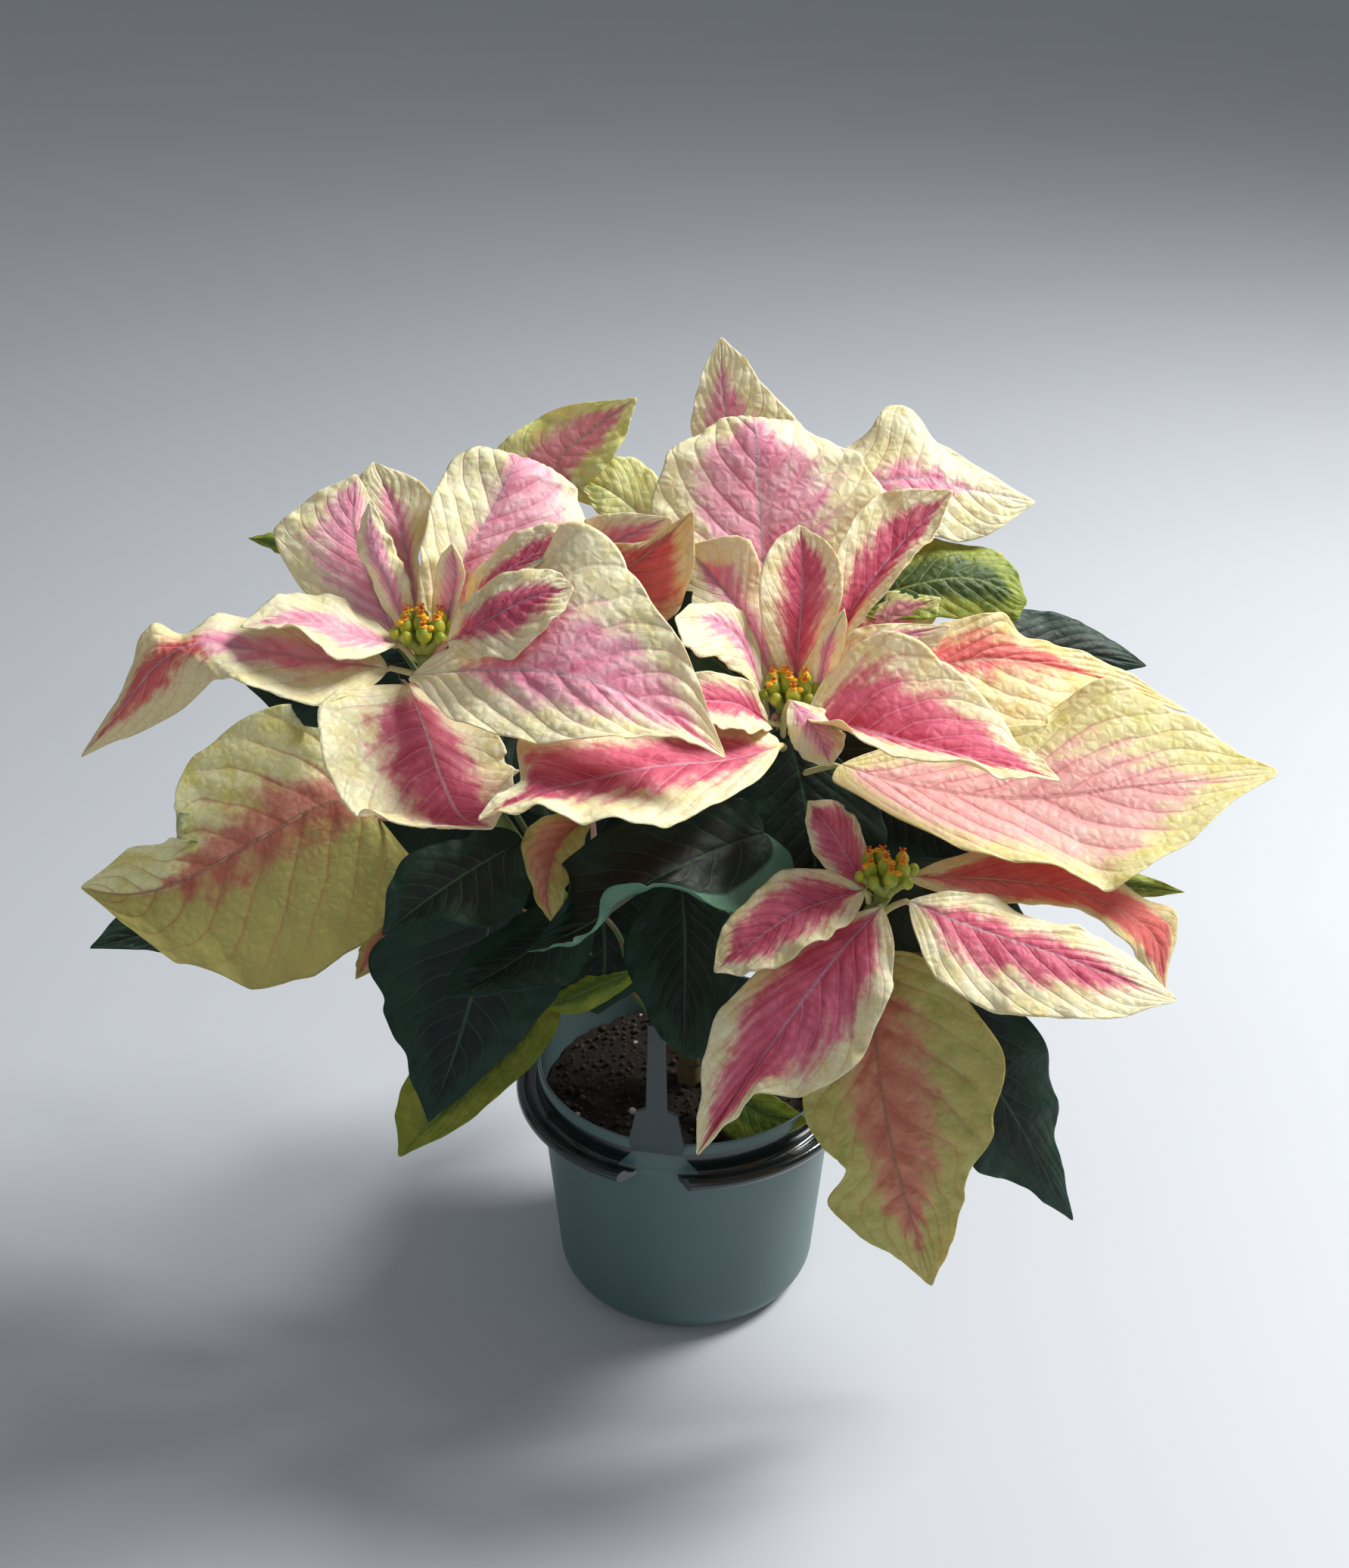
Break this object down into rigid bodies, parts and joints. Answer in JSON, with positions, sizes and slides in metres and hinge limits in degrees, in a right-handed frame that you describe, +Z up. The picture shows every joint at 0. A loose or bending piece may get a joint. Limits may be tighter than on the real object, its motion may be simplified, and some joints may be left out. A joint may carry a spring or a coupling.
{
  "type": "potted poinsettia",
  "caption": "Branching house plant with marbled pink and cream bracts and dark green leaves, growing in a round plastic nursery pot.",
  "frame": {"origin": "centre of the pot's flat base", "axes": "+Z up along the pot's axis, -Y towards the front of the plant, +X to its right"},
  "size_m": [0.4198, 0.2444, 0.3477],
  "materials": {
    "pot": "satin grey-green moulded plastic",
    "soil": "dark potting mix",
    "stem": "green bark",
    "flower": "waxy yellow-green",
    "cream": "matt bract, cream with a pink middle",
    "magenta": "matt bract in shade, magenta middle",
    "coral": "matt bract, coral underside",
    "yellow_green": "transition leaf, yellow-green with dusty pink",
    "pale_green": "pale green-cream bract",
    "green": "mid-green leaf",
    "dark_green": "satin dark green leaf"
  },
  "bodies": {
    "root": {"pot": "pot", "support_upright": "pot", "soil": "soil", "main_stem": "stem", "branch_left": "stem", "flowers_left": "flower", "branch_centre": "stem", "flowers_centre": "flower", "branch_right": "stem", "flowers_right": "flower", "branch_back": "stem", "flowers_back": "flower", "bract_left_1": "cream", "bract_left_2": "cream", "bract_left_3": "cream", "bract_left_4": "cream", "bract_left_5": "cream", "bract_left_6": "cream", "bract_left_7": "cream", "bract_left_8": "cream", "bract_left_9": "cream", "bract_left_10": "cream", "bract_left_11": "magenta", "bract_left_12": "cream", "leaf_left_1": "yellow_green", "leaf_left_2": "dark_green", "leaf_left_3": "dark_green", "leaf_left_4": "dark_green", "leaf_left_5": "yellow_green", "bract_centre_1": "coral", "bract_centre_2": "magenta", "bract_centre_3": "cream", "bract_centre_4": "cream", "bract_centre_5": "cream", "bract_centre_6": "cream", "bract_centre_7": "cream", "bract_centre_8": "cream", "bract_centre_9": "magenta", "bract_centre_10": "coral", "leaf_centre_1": "yellow_green", "leaf_centre_2": "dark_green", "leaf_left_7": "yellow_green", "leaf_left_6": "dark_green", "leaf_centre_3": "dark_green", "bract_right_1": "magenta", "bract_right_2": "magenta", "bract_right_3": "magenta", "bract_right_4": "magenta", "bract_right_5": "coral", "leaf_right_1": "yellow_green", "leaf_right_2": "dark_green", "bract_back_1": "cream", "bract_back_2": "cream", "bract_back_3": "pale_green", "bract_back_4": "pale_green", "leaf_back_1": "green", "leaf_back_2": "dark_green", "leaf_back_3": "dark_green", "leaf_back_4": "dark_green", "bract_back_5": "cream"}
  },
  "joints": []
}
